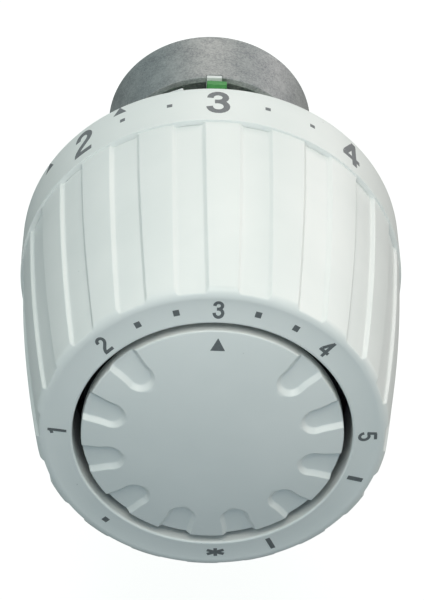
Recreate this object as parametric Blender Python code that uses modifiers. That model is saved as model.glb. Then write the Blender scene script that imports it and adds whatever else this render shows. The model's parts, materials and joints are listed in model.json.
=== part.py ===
"""Sensor head of a thermostatic radiator valve, built from its separate pieces.

The head is modelled standing on its axis: local +Z runs from the valve to the front dial and local +Y
is the top of the dial. The empty head_axis lays it down, so that in the world the dial faces -Y and its
top is +Z. Heights are measured from the end face of the pressure spindle, where the head meets the
valve's own pin. Sizes are in millimetres and become metres where a mesh is made.
Clock angles are degrees clockwise from the top of the dial, seen from the front.
"""

import math

import bmesh
import bpy
from mathutils import Matrix, Vector

MM = 0.001
GAP = 0.3

# Setting knob
KNOB_FRONT = 66.0
KNOB_REAR = 26.2
KNOB_FRONT_RADIUS = 21.4
KNOB_BAND_RADIUS = 25.0
KNOB_BULGE = 0.5
KNOB_WALL = 1.8
KNOB_TUBE_WALL = 1.2
KNOB_FACE_RADIUS = 20.2
FRONT_ROUNDING = 1.0
BAND_FRONT = 33.9
BAND_STEP = 0.28
OPENING_RADIUS = 17.07
OPENING_DEPTH = 9.0
FLUTES = 18
FLUTE_WIDTH = 3.6
FLUTE_DEPTH = 0.5
FLUTE_REAR = 34.1
FLUTE_TURN = 1.3

# Front disc
DISC_RADIUS = 16.0
DISC_RIM = 66.35
DISC_CROWN = 2.0
DISC_TURN = 0.4
DISC_HUB_RADIUS = 12.0
DISC_HUB_WALL = 1.2
DISC_HUB_DEPTH = 1.4
NOTCH_WIDTH = 3.1
NOTCH_DEPTH = 0.6
NOTCH_INNER_RADIUS = 11.65
NOTCH_ANGLES = (45, 75, 105, 135, 165, 195, 225, 255, 285, 315)

# Collar and neck
COLLAR_FRONT = 5.1
COLLAR_REAR = -4.8
COLLAR_FRONT_RADIUS = 13.75
COLLAR_REAR_RADIUS = 14.4
COLLAR_MOUTH_RADIUS = 12.85
NECK_BORE_RADIUS = 13.05
NECK_SEAT = 1.9
WEB_THICKNESS = 1.2
WEB_HOLE_RADIUS = 8.0
BOSS_WIDTH = 7.4
BOSS_REACH = 17.0
CLAMP_HEIGHT = -1.2
CLAMP_SCREW_RADIUS = 1.9
INDEX_ANGLE = 0.45
INDEX_WIDTH = 2.1

# Base and limit rings
FLANGE_RADIUS = 22.6
FLANGE_TOP = 29.4
FLANGE_REAR = 27.6
CONE_TOP_RADIUS = 20.6
CONE_FOOT = 9.4
CONE_FOOT_RADIUS = 10.7
NECK_RADIUS = 9.4
SPIGOT_RADIUS = 7.6
VENTS = 12
RING_THICKNESS = 1.0
RING_RADIUS = 11.4
RING_TAB_WIDTH = 2.75
GREEN_RING_FOOT = 5.7
GREEN_TAB_ANGLE = 1.95
GREEN_TAB_REACH = 13.6
WHITE_RING_FOOT = 7.1
WHITE_TAB_ANGLE = -23.0
WHITE_TAB_REACH = 13.95

# Cage, nut and sensor carrier
CAGE_RADIUS = 15.7
CAGE_BORE = 14.7
CAGE_TOP = 64.4
CAGE_WINDOWS = 6
CAGE_FLANGE = 1.4
SCREW_CIRCLE = 17.5
THREAD_LEAD = 4.0
CARRIER_RADIUS = 14.3
CARRIER_BORE = 13.4
CARRIER_FOOT = 33.6
CARRIER_TOP = 60.0
LUG_TOP = 44.0
LUG_REACH = 17.2
LUG_WIDTH = 4.6
LUG_THICKNESS = 1.2
NUT_BORE = 16.1

# Sensor and spindle
CAN_RADIUS = 12.9
CAN_TOP = 54.0
CAN_FOOT = 36.8
BELLOWS_TOP = 51.5
BELLOWS_FOOT = 36.9
CONVOLUTIONS = 5
SPINDLE_RADIUS = 2.4
SPINDLE_TOP = 50.3

WHITE = (0.86, 0.88, 0.87)


def clear_scene():
    for obj in list(bpy.data.objects):
        bpy.data.objects.remove(obj, do_unlink=True)


def new_collection(name):
    collection = bpy.data.collections.new(name)
    bpy.context.scene.collection.children.link(collection)
    return collection


def material(name, colour, roughness, metallic=0.0):
    made = bpy.data.materials.new(name)
    made.use_nodes = True
    shader = made.node_tree.nodes["Principled BSDF"]
    shader.inputs["Base Color"].default_value = (*colour, 1.0)
    shader.inputs["Roughness"].default_value = roughness
    shader.inputs["Metallic"].default_value = metallic
    return made


def clock(angle):
    """The turn about the local axis that carries the top of the dial to this clock angle."""
    return Matrix.Rotation(-math.radians(angle), 4, "Z")


def place(mesh, name):
    obj = bpy.data.objects.new(name, mesh)
    obj.parent = head_axis
    return obj


def as_part(obj, finish):
    """Makes the object one of the head's pieces."""
    parts.objects.link(obj)
    obj.data.materials.append(finish)
    if obj.type == "MESH":
        obj.data.shade_smooth()
        obj.data.set_sharp_from_angle(angle=math.radians(35))
    return obj


def as_cutter(obj):
    """Makes the object a helper that shapes a piece and isn't part of the head."""
    cutters.objects.link(obj)
    obj.hide_render = True
    obj.display_type = "WIRE"
    return obj


def turned(name, profile, steps, solid=False):
    """A body of revolution. Its (radius, height) profile runs down the outer side and back up the bore;
    a solid one starts and ends on the axis."""
    points = [(radius * MM, 0.0, height * MM) for radius, height in profile]
    edges = [(i, i + 1) for i in range(len(points) - 1)]
    if not solid:
        edges.append((len(points) - 1, 0))
    mesh = bpy.data.meshes.new(name)
    mesh.from_pydata(points, edges, [])
    obj = place(mesh, name)
    turn = obj.modifiers.new("turn", "SCREW")
    turn.steps = steps
    turn.render_steps = steps
    turn.use_merge_vertices = True
    turn.merge_threshold = 0.01 * MM
    return obj


def blocks(name, size, transforms):
    """Boxes of one size (mm), one for each transform, in one mesh."""
    mesh = bpy.data.meshes.new(name)
    shape = bmesh.new()
    for transform in transforms:
        scale = Matrix.Diagonal((*(Vector(size) * MM), 1.0))
        bmesh.ops.create_cube(shape, size=1.0, matrix=transform @ scale)
    shape.to_mesh(mesh)
    shape.free()
    return place(mesh, name)


def rods(name, radius, length, transforms, sides=16):
    """Cylinders of one size (mm) along their own Z, one for each transform, in one mesh."""
    mesh = bpy.data.meshes.new(name)
    shape = bmesh.new()
    for transform in transforms:
        bmesh.ops.create_cone(
            shape,
            cap_ends=True,
            segments=sides,
            radius1=radius * MM,
            radius2=radius * MM,
            depth=length * MM,
            matrix=transform,
        )
    shape.to_mesh(mesh)
    shape.free()
    return place(mesh, name)


def outline_blocks(name, outline, thickness, transforms):
    """Flat shapes with one (x, y) outline in mm, one for each transform, in one mesh."""
    curve = bpy.data.curves.new(name, "CURVE")
    curve.dimensions = "2D"
    curve.fill_mode = "BOTH"
    curve.extrude = thickness / 2 * MM
    spline = curve.splines.new("POLY")
    spline.points.add(len(outline) - 1)
    for point, (x, y) in zip(spline.points, outline):
        point.co = (x * MM, y * MM, 0.0, 1.0)
    spline.use_cyclic_u = True
    guide = bpy.data.objects.new(name + "_outline", curve)
    bpy.context.scene.collection.objects.link(guide)
    bpy.context.view_layer.update()
    one = bpy.data.meshes.new_from_object(guide.evaluated_get(bpy.context.evaluated_depsgraph_get()))
    bpy.data.objects.remove(guide)
    shape = bmesh.new()
    for transform in transforms:
        first = len(shape.verts)
        shape.from_mesh(one)
        shape.verts.ensure_lookup_table()
        bmesh.ops.transform(shape, matrix=transform, verts=shape.verts[first:])
    bmesh.ops.remove_doubles(shape, verts=shape.verts, dist=0.001 * MM)
    bmesh.ops.recalc_face_normals(shape, faces=shape.faces)
    mesh = bpy.data.meshes.new(name)
    shape.to_mesh(mesh)
    shape.free()
    return place(mesh, name)


def coil(name, mean_radius, wire_radius, foot, top, turns, finish):
    """A compression spring with its first and last half turns wound flat."""
    points_a_turn = 10
    flat = 0.5
    count = round(turns * points_a_turn)
    curve = bpy.data.curves.new(name, "CURVE")
    curve.dimensions = "3D"
    curve.bevel_depth = wire_radius * MM
    curve.bevel_resolution = 1
    curve.use_fill_caps = True
    spline = curve.splines.new("POLY")
    spline.points.add(count)
    low = foot + wire_radius
    high = top - wire_radius
    for index, point in enumerate(spline.points):
        turned_so_far = index / points_a_turn
        climb = (turned_so_far - flat) / (turns - 2 * flat)
        climb = min(max(climb, 0.0), 1.0)
        # the dead half turns still rise by a hair so that the ends don't close on themselves
        creep = 2.3 * wire_radius * (turned_so_far / turns)
        height = low + creep + climb * (high - low - 2.3 * wire_radius)
        angle = 2 * math.pi * turned_so_far
        x = mean_radius * math.cos(angle)
        y = mean_radius * math.sin(angle)
        point.co = (x * MM, y * MM, height * MM, 1.0)
    obj = place(curve, name)
    return as_part(obj, finish)


def boolean(obj, other, operation, label):
    modifier = obj.modifiers.new(label, "BOOLEAN")
    modifier.operation = operation
    modifier.object = as_cutter(other)
    return modifier


def cut(obj, cutter):
    boolean(obj, cutter, "DIFFERENCE", "cut_" + cutter.name)


def join(obj, other):
    boolean(obj, other, "UNION", "join_" + other.name)


def move(x, y, z):
    return Matrix.Translation((x * MM, y * MM, z * MM))


def around(count, radius, height, start=0.0):
    """Transforms evenly spaced round the axis, with local +Y pointing outwards."""
    return [clock(start + 360 * i / count) @ move(0, radius, height) for i in range(count)]


def knob_radius(height):
    """Outer radius of the slightly barrelled knob at this height."""
    share = (KNOB_FRONT - height) / (KNOB_FRONT - BAND_FRONT)
    share = min(max(share, 0.0), 1.0)
    straight = KNOB_FRONT_RADIUS + (KNOB_BAND_RADIUS - BAND_STEP - KNOB_FRONT_RADIUS) * share
    return straight + 4 * KNOB_BULGE * share * (1 - share)


def setting_knob():
    side_top = KNOB_FRONT - FRONT_ROUNDING
    heights = [side_top - i * (side_top - BAND_FRONT) / 4 for i in range(5)]
    reach = knob_radius(side_top) - KNOB_FACE_RADIUS
    outside = [
        (KNOB_FACE_RADIUS + reach * math.sin(a), side_top + FRONT_ROUNDING * math.cos(a))
        for a in (0.0, math.pi / 6, math.pi / 3)
    ]
    outside += [(knob_radius(height), height) for height in heights]
    outside += [(KNOB_BAND_RADIUS, BAND_FRONT), (KNOB_BAND_RADIUS, KNOB_REAR)]
    inside = [(KNOB_BAND_RADIUS - KNOB_WALL, KNOB_REAR)]
    inside += [(knob_radius(height) - KNOB_WALL, height) for height in reversed(heights[1:])]
    inside += [(KNOB_FRONT_RADIUS - KNOB_WALL - 0.4, KNOB_FRONT - KNOB_WALL)]
    tube_foot = KNOB_FRONT - OPENING_DEPTH
    edge = 0.25
    tube = [
        (OPENING_RADIUS + KNOB_TUBE_WALL + 0.1, KNOB_FRONT - KNOB_WALL),
        (OPENING_RADIUS + KNOB_TUBE_WALL, tube_foot),
        (OPENING_RADIUS, tube_foot),
        (OPENING_RADIUS, KNOB_FRONT - edge),
        (OPENING_RADIUS + edge, KNOB_FRONT),
    ]
    knob = turned("setting_knob", outside + inside + tube, 54)
    length = KNOB_FRONT + 1.0 - FLUTE_REAR
    middle = (KNOB_FRONT + 1.0 + FLUTE_REAR) / 2
    slope = math.atan2(knob_radius(FLUTE_REAR) - KNOB_FRONT_RADIUS, KNOB_FRONT - FLUTE_REAR)
    floor = (KNOB_FRONT_RADIUS + knob_radius(FLUTE_REAR)) / 2 - FLUTE_DEPTH
    thickness = 4.0
    transforms = [
        place_one @ Matrix.Rotation(slope, 4, "X") @ move(0, thickness / 2, 0)
        for place_one in around(FLUTES, floor, middle, start=180 / FLUTES + FLUTE_TURN)
    ]
    cut(knob, blocks("flutes", (FLUTE_WIDTH, thickness, length), transforms))
    return as_part(knob, white_plastic)


def knob_retaining_ring():
    outer = KNOB_BAND_RADIUS - KNOB_WALL - GAP
    inner = 21.0
    top = FLANGE_REAR - GAP
    foot = top - 0.8
    ring = turned("knob_retaining_ring", [(outer, top), (outer, foot), (inner, foot), (inner, top)], 40)
    cut(ring, blocks("ring_split", (3.0, 6.0, 4.0), around(1, 22.0, foot + 0.5, start=180)))
    return as_part(ring, spring_steel)


def adjusting_nut():
    """The ring that turns with the knob; its internal thread carries the sensor carrier along the axis."""
    top = 48.0
    body = 18.9
    skirt = 22.3
    skirt_bore = 20.4
    skirt_foot = FLANGE_TOP + 0.4
    nut = turned(
        "adjusting_nut",
        [
            (body, top),
            (body, 35.2),
            (skirt, 34.2),
            (skirt, skirt_foot),
            (skirt_bore, skirt_foot),
            (skirt_bore, 33.5),
            (NUT_BORE, 33.5),
            (NUT_BORE, top),
        ],
        36,
    )
    # Opening the valve turns the nut anticlockwise and lifts the lugs, so the groove falls that way.
    turns = 1.65
    start_angle = -368.0
    half = (LUG_THICKNESS + 0.7) / 2
    middle = LUG_TOP - LUG_THICKNESS / 2 - THREAD_LEAD * start_angle / 360
    floor = LUG_REACH + 0.6
    mouth = NUT_BORE - 0.8
    section = [(floor, half), (floor, -half), (mouth, -half), (mouth, half)]
    start = clock(-90 - start_angle)
    groove = bmesh.new()
    corners = [groove.verts.new(start @ Vector((x * MM, 0, (middle + z) * MM))) for x, z in section]
    face = groove.faces.new(corners)
    steps = round(24 * turns)
    bmesh.ops.spin(
        groove,
        geom=[*corners, *face.edges, face],
        axis=(0, 0, 1),
        cent=(0, 0, 0),
        angle=2 * math.pi * turns,
        dvec=(0, 0, -THREAD_LEAD * turns / steps * MM),
        steps=steps,
    )
    bmesh.ops.recalc_face_normals(groove, faces=groove.faces)
    mesh = bpy.data.meshes.new("thread_groove")
    groove.to_mesh(mesh)
    groove.free()
    cutter = place(mesh, "thread_groove")
    cut(nut, cutter)
    return as_part(nut, grey_plastic)


def disc_level(radius):
    """Height of the disc's crowned face at this radius."""
    return DISC_RIM + DISC_CROWN * (1 - (radius / DISC_RADIUS) ** 2)


def front_disc():
    foot = CAGE_TOP + GAP
    rim = DISC_RADIUS
    rounding = 0.2
    hub_bore = DISC_HUB_RADIUS - DISC_HUB_WALL
    face = [(radius, disc_level(radius)) for radius in (0, 4.0, 8.0, 11.0, 13.5, rim - rounding)]
    disc = turned(
        "front_disc",
        face
        + [
            (rim, DISC_RIM - rounding),
            (rim, foot),
            (DISC_HUB_RADIUS, foot),
            (DISC_HUB_RADIUS, foot - DISC_HUB_DEPTH),
            (hub_bore, foot - DISC_HUB_DEPTH),
            (hub_bore, foot),
            (0, foot),
        ],
        60,
        solid=True,
    )
    half = NOTCH_WIDTH / 2
    middle = (NOTCH_INNER_RADIUS + rim) / 2
    centre = NOTCH_INNER_RADIUS + half - middle
    arc = [math.pi * (1 + i / 6) for i in range(7)]
    outline = [(half * math.cos(a), centre + half * math.sin(a)) for a in arc]
    outline += [(half, rim + 1.0 - middle), (-half, rim + 1.0 - middle)]
    thickness = 3.0
    # the notch floors follow the crown
    lean = math.atan(2 * DISC_CROWN * middle / rim**2)
    height = disc_level(middle) - NOTCH_DEPTH + thickness / 2
    transforms = [
        clock(angle + DISC_TURN) @ move(0, middle, height) @ Matrix.Rotation(-lean, 4, "X")
        for angle in NOTCH_ANGLES
    ]
    cut(disc, outline_blocks("notches", outline, thickness, transforms))
    return as_part(disc, white_plastic)


def collar():
    seat_recess = 0.4
    ring = turned(
        "collar",
        [
            (COLLAR_FRONT_RADIUS, COLLAR_FRONT),
            (COLLAR_FRONT_RADIUS + 0.2, 0.0),
            (COLLAR_REAR_RADIUS, COLLAR_REAR),
            (NECK_BORE_RADIUS, COLLAR_REAR),
            (NECK_BORE_RADIUS, NECK_SEAT),
            (WEB_HOLE_RADIUS + 1.6, NECK_SEAT),
            (WEB_HOLE_RADIUS + 1.6, NECK_SEAT + seat_recess),
            (WEB_HOLE_RADIUS, NECK_SEAT + seat_recess),
            (WEB_HOLE_RADIUS, NECK_SEAT + WEB_THICKNESS),
            (COLLAR_MOUTH_RADIUS, NECK_SEAT + WEB_THICKNESS),
            (COLLAR_MOUTH_RADIUS, COLLAR_FRONT),
        ],
        40,
    )
    boss_inner = 13.5
    boss = blocks(
        "clamp_boss",
        (BOSS_WIDTH, BOSS_REACH - boss_inner, 6.8),
        [clock(180) @ move(0, (boss_inner + BOSS_REACH) / 2, CLAMP_HEIGHT)],
    )
    round_edges = boss.modifiers.new("round", "BEVEL")
    round_edges.width = 0.8 * MM
    round_edges.segments = 2
    join(ring, boss)
    pocket = blocks("shoe_pocket", (5.6, 2.6, 4.6), [clock(180) @ move(0, 13.3, CLAMP_HEIGHT)])
    cut(ring, pocket)
    along_screw = clock(180) @ move(0, 16.0, CLAMP_HEIGHT) @ Matrix.Rotation(math.pi / 2, 4, "X")
    cut(ring, rods("screw_hole", CLAMP_SCREW_RADIUS + GAP, 5.0, [along_screw], 20))
    notch = blocks("index_notch", (INDEX_WIDTH + 0.7, 3.0, 3.0), [clock(INDEX_ANGLE) @ move(0, 13.3, 5.4)])
    cut(ring, notch)
    return as_part(ring, cast_metal)


def base_housing():
    """The rear shell: a vented cone, the flange that carries the knob, and the neck inside the collar."""
    wall = 1.4
    base = turned(
        "base_housing",
        [
            (FLANGE_RADIUS, FLANGE_TOP),
            (FLANGE_RADIUS, FLANGE_REAR),
            (CONE_TOP_RADIUS, FLANGE_REAR),
            (CONE_FOOT_RADIUS, CONE_FOOT),
            (NECK_RADIUS, CONE_FOOT),
            (NECK_RADIUS, 3.4),
            (SPIGOT_RADIUS, 3.4),
            (SPIGOT_RADIUS, 1.75),
            (SPIGOT_RADIUS - 0.7, 1.75),
            (SPIGOT_RADIUS - 0.7, 0.85),
            (SPIGOT_RADIUS, 0.85),
            (SPIGOT_RADIUS, 0.4),
            (5.95, 0.4),
            (5.95, 10.9),
            (CONE_FOOT_RADIUS - wall, 10.9),
            (CONE_TOP_RADIUS - wall, FLANGE_REAR - 0.4),
            (15.0, FLANGE_REAR),
            (15.0, FLANGE_TOP),
        ],
        36,
    )
    bosses = rods("screw_bosses", 1.9, 3.0, around(3, SCREW_CIRCLE, 27.0, start=30), 12)
    join(base, bosses)
    key_inner = NECK_RADIUS - 0.6
    key_outer = COLLAR_FRONT_RADIUS
    key = blocks(
        "index_key",
        (INDEX_WIDTH, key_outer - key_inner, 1.1),
        [clock(INDEX_ANGLE) @ move(0, (key_inner + key_outer) / 2, 4.75)],
    )
    join(base, key)
    slope = math.atan2(CONE_TOP_RADIUS - CONE_FOOT_RADIUS, FLANGE_REAR - CONE_FOOT)
    vents = [
        one @ Matrix.Rotation(-slope, 4, "X") for one in around(VENTS, 15.4, 18.6, start=180 / VENTS)
    ]
    cut(base, blocks("vents", (2.4, 5.0, 11.5), vents))
    cut(base, rods("screw_pilots", 1.2, 4.0, around(3, SCREW_CIRCLE, 28.2, start=30), 12))
    return as_part(base, white_plastic)


def collar_circlip():
    """The open ring in the neck's groove that keeps the collar on the base."""
    outer = 9.1
    inner = SPIGOT_RADIUS - 0.35
    foot = 1.1
    top = foot + 0.4
    ring = turned("collar_circlip", [(outer, top), (outer, foot), (inner, foot), (inner, top)], 32)
    cut(ring, blocks("circlip_opening", (7.0, 8.0, 2.0), around(1, 9.5, foot + 0.2, start=180)))
    return as_part(ring, spring_steel)


def limit_ring(name, foot, tab_angle, tab_reach, finish):
    """A ring on the base's neck with a tab that sets one end of the knob's range."""
    top = foot + RING_THICKNESS
    bore = NECK_RADIUS + 0.35
    ring = turned(name, [(RING_RADIUS, top), (RING_RADIUS, foot), (bore, foot), (bore, top)], 36)
    inner = RING_RADIUS - 0.9
    tab = blocks(
        name + "_tab",
        (RING_TAB_WIDTH, tab_reach - inner, RING_THICKNESS - 0.1),
        [clock(tab_angle) @ move(0, (inner + tab_reach) / 2, foot + RING_THICKNESS / 2)],
    )
    join(ring, tab)
    return as_part(ring, finish)


def inner_cage():
    """The slotted sleeve on the base: it guides the carrier, keeps it from turning and holds the disc."""
    flange_foot = FLANGE_TOP + GAP
    flange_top = flange_foot + CAGE_FLANGE
    flange_radius = 19.6
    plate = 1.2
    plate_bore = DISC_HUB_RADIUS + 0.4
    cage = turned(
        "inner_cage",
        [
            (CAGE_RADIUS, CAGE_TOP),
            (CAGE_RADIUS, flange_top),
            (flange_radius, flange_top),
            (flange_radius, flange_foot),
            (CAGE_BORE, flange_foot),
            (CAGE_BORE, CAGE_TOP - plate),
            (plate_bore, CAGE_TOP - plate),
            (plate_bore, CAGE_TOP),
        ],
        36,
    )
    windows = around(CAGE_WINDOWS, CAGE_RADIUS, 46.5)
    cut(cage, blocks("cage_windows", (8.4, 4.0, 27.0), windows))
    holes = rods("cage_screw_holes", 1.25, 4.0, around(3, SCREW_CIRCLE, 30.4, start=30), 12)
    cut(cage, holes)
    return as_part(cage, grey_plastic)


def base_screw(index):
    """A cross-recess screw that holds the cage to the base."""
    head_foot = FLANGE_TOP + GAP + CAGE_FLANGE + GAP
    head_top = head_foot + 1.1
    screw = turned(
        f"base_screw_{index}",
        [
            (0, head_top),
            (1.1, head_top),
            (1.4, head_foot + 0.6),
            (1.4, head_foot),
            (0.9, head_foot),
            (0.9, 26.8),
            (0, 26.5),
        ],
        12,
        solid=True,
    )
    screw.matrix_basis = clock(30 + 120 * (index - 1)) @ move(0, SCREW_CIRCLE, 0)
    recess = [move(0, 0, head_top), move(0, 0, head_top) @ Matrix.Rotation(math.pi / 2, 4, "Z")]
    for number, transform in enumerate(recess):
        slot = blocks(f"{screw.name}_recess_{number}", (1.7, 0.4, 1.0), [transform])
        slot.matrix_basis = screw.matrix_basis
        cut(screw, slot)
    return as_part(screw, spring_steel)


def sensor_carrier():
    """The sleeve that holds the sensor; its three lugs pass through the cage into the nut's thread."""
    lip_radius = 11.6
    lip = 1.2
    carrier = turned(
        "sensor_carrier",
        [
            (CARRIER_RADIUS, CARRIER_TOP),
            (CARRIER_RADIUS, CARRIER_FOOT),
            (lip_radius, CARRIER_FOOT),
            (lip_radius, CARRIER_FOOT + lip),
            (CARRIER_BORE, CARRIER_FOOT + lip),
            (CARRIER_BORE, CARRIER_TOP),
        ],
        36,
    )
    inner = CARRIER_RADIUS - 0.6
    lugs = [
        clock(120 * i) @ move(0, (inner + LUG_REACH) / 2, LUG_TOP - LUG_THICKNESS / 2 + THREAD_LEAD * i / 3)
        for i in range(3)
    ]
    join(carrier, blocks("lugs", (LUG_WIDTH, LUG_REACH - inner, LUG_THICKNESS), lugs))
    windows = around(6, CARRIER_RADIUS, 51.5, start=30)
    cut(carrier, blocks("carrier_windows", (6.0, 4.0, 12.0), windows))
    return as_part(carrier, grey_plastic)


def carrier_cap():
    """The snap-in ring that the overtravel spring pushes against."""
    foot = CARRIER_TOP + GAP
    top = foot + 1.1
    bore = 8.0
    rim = CARRIER_RADIUS
    cap = turned("carrier_cap", [(rim, top), (rim, foot), (bore, foot), (bore, top)], 36)
    return as_part(cap, grey_plastic)


def sensor_can():
    wall = 0.6
    can = turned(
        "sensor_can",
        [
            (0, CAN_TOP),
            (CAN_RADIUS - 1.6, CAN_TOP),
            (CAN_RADIUS - 0.4, CAN_TOP - 0.5),
            (CAN_RADIUS, CAN_TOP - 1.7),
            (CAN_RADIUS, CAN_FOOT),
            (CAN_RADIUS - wall, CAN_FOOT),
            (CAN_RADIUS - wall, CAN_TOP - 1.8),
            (CAN_RADIUS - 1.8, CAN_TOP - wall),
            (0, CAN_TOP - wall),
        ],
        36,
        solid=True,
    )
    return as_part(can, bright_metal)


def sensor_end_plate():
    foot = CAN_FOOT - GAP - 1.3
    plate = turned(
        "sensor_end_plate",
        [
            (CAN_RADIUS + 0.1, CAN_FOOT - GAP),
            (CAN_RADIUS + 0.1, foot),
            (7.2, foot),
            (7.2, CAN_FOOT - GAP),
        ],
        36,
    )
    return as_part(plate, bright_metal)


def filling_tube():
    """The pinched tube through which the capsule is charged."""
    foot = CAN_TOP + GAP
    tube = turned(
        "filling_tube",
        [(0, foot + 3.4), (0.6, foot + 3.3), (1.1, foot + 2.0), (1.1, foot + 0.4), (1.7, foot), (0, foot)],
        12,
        solid=True,
    )
    return as_part(tube, copper)


def bellows():
    """The corrugated tube that the charge squeezes, closed at its front end."""
    wall = 0.45
    crest = 8.7
    root = 7.3
    cap_thickness = 0.8
    folds_top = BELLOWS_TOP - cap_thickness
    pitch = (folds_top - BELLOWS_FOOT) / CONVOLUTIONS
    outside = [(0, BELLOWS_TOP), (root, BELLOWS_TOP)]
    inside = [(0, folds_top)]
    for fold in range(CONVOLUTIONS):
        top = folds_top - fold * pitch
        outside += [(root, top - 0.1 * pitch), (crest, top - 0.35 * pitch), (crest, top - 0.65 * pitch)]
        inside += [
            (root - wall, top - 0.1 * pitch),
            (crest - wall, top - 0.4 * pitch),
            (crest - wall, top - 0.6 * pitch),
        ]
    outside += [(root, BELLOWS_FOOT), (root - wall, BELLOWS_FOOT)]
    made = turned("bellows", outside + inside[:0:-1] + inside[:1], 16, solid=True)
    return as_part(made, copper)


def spring_seat():
    outer = 11.2
    bore = SPINDLE_RADIUS + 0.4
    foot = 33.5
    top = foot + 1.4
    seat = turned("spring_seat", [(outer, top), (outer, foot), (bore, foot), (bore, top)], 28)
    return as_part(seat, bright_metal)


def pressure_spindle():
    head = 5.9
    spindle = turned(
        "pressure_spindle",
        [
            (0, SPINDLE_TOP),
            (head, SPINDLE_TOP),
            (head, SPINDLE_TOP - 1.2),
            (SPINDLE_RADIUS, SPINDLE_TOP - 1.8),
            (SPINDLE_RADIUS, 0.3),
            (SPINDLE_RADIUS - 0.3, 0.0),
            (0, 0.0),
        ],
        20,
        solid=True,
    )
    return as_part(spindle, bright_metal)


def spindle_guide():
    rim = 7.8
    rim_foot = 11.2
    top = rim_foot + 1.0
    body = 5.6
    foot = 1.0
    bore = SPINDLE_RADIUS + 0.35
    guide = turned(
        "spindle_guide",
        [(rim, top), (rim, rim_foot), (body, rim_foot), (body, foot), (bore, foot), (bore, top)],
        24,
    )
    return as_part(guide, grey_plastic)


def clamp_shoe():
    """The small pad that the clamp screw presses on the valve's neck."""
    shoe = blocks("clamp_shoe", (5.0, 1.0, 4.0), [clock(180) @ move(0, 13.65, CLAMP_HEIGHT)])
    return as_part(shoe, bright_metal)


def clamp_screw():
    """A set screw with a hexagon socket, lying across the axis under the collar."""
    inner = 14.45
    outer = 18.3
    screw = turned(
        "clamp_screw",
        [
            (0, outer),
            (CLAMP_SCREW_RADIUS - 0.3, outer),
            (CLAMP_SCREW_RADIUS, outer - 0.3),
            (CLAMP_SCREW_RADIUS, inner + 0.5),
            (CLAMP_SCREW_RADIUS - 0.5, inner),
            (0, inner),
        ],
        20,
        solid=True,
    )
    lie = clock(180) @ move(0, 0, CLAMP_HEIGHT) @ Matrix.Rotation(-math.pi / 2, 4, "X")
    screw.matrix_basis = lie
    socket = rods("hexagon_socket", 1.15, 3.6, [move(0, 0, outer)], 6)
    socket.matrix_basis = lie
    cut(screw, socket)
    return as_part(screw, spring_steel)


clear_scene()
parts = new_collection("radiator_valve_sensor_head")
cutters = new_collection("cutters")
head_axis = bpy.data.objects.new("head_axis", None)
head_axis.rotation_euler.x = math.pi / 2
parts.objects.link(head_axis)

white_plastic = material("white_plastic", WHITE, 0.42)
grey_plastic = material("grey_plastic", (0.55, 0.56, 0.56), 0.5)
green_plastic = material("green_plastic", (0.07, 0.36, 0.08), 0.4)
cast_metal = material("cast_metal", (0.36, 0.37, 0.37), 0.55, 0.85)
bright_metal = material("bright_metal", (0.72, 0.72, 0.7), 0.3, 1.0)
spring_steel = material("spring_steel", (0.5, 0.5, 0.52), 0.35, 1.0)
copper = material("copper", (0.75, 0.45, 0.25), 0.35, 1.0)

setting_knob()
knob_retaining_ring()
adjusting_nut()
front_disc()
collar()
collar_circlip()
base_housing()
limit_ring("limit_ring_green", GREEN_RING_FOOT, GREEN_TAB_ANGLE, GREEN_TAB_REACH, green_plastic)
limit_ring("limit_ring_white", WHITE_RING_FOOT, WHITE_TAB_ANGLE, WHITE_TAB_REACH, white_plastic)
inner_cage()
for number in (1, 2, 3):
    base_screw(number)
sensor_carrier()
carrier_cap()
coil("overtravel_spring", 9.4, 0.5, 54.3, 60.0, 3, spring_steel)
sensor_can()
sensor_end_plate()
filling_tube()
bellows()
spring_seat()
coil("return_spring", 4.6, 0.55, 35.2, 48.8, 5, spring_steel)
pressure_spindle()
spindle_guide()
clamp_shoe()
clamp_screw()
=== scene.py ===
"""The looks of a radiator valve's sensor head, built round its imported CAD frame.

Lengths here are millimetres in the head's own axes: height runs along the axis from the valve to the
dial, and clock angles run clockwise from the top of the dial, seen from the front. on_axis() turns both
into the frame's metres.
"""

import json
import math

import bmesh
import bpy
import numpy as np
from mathutils import Matrix, Vector

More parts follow.
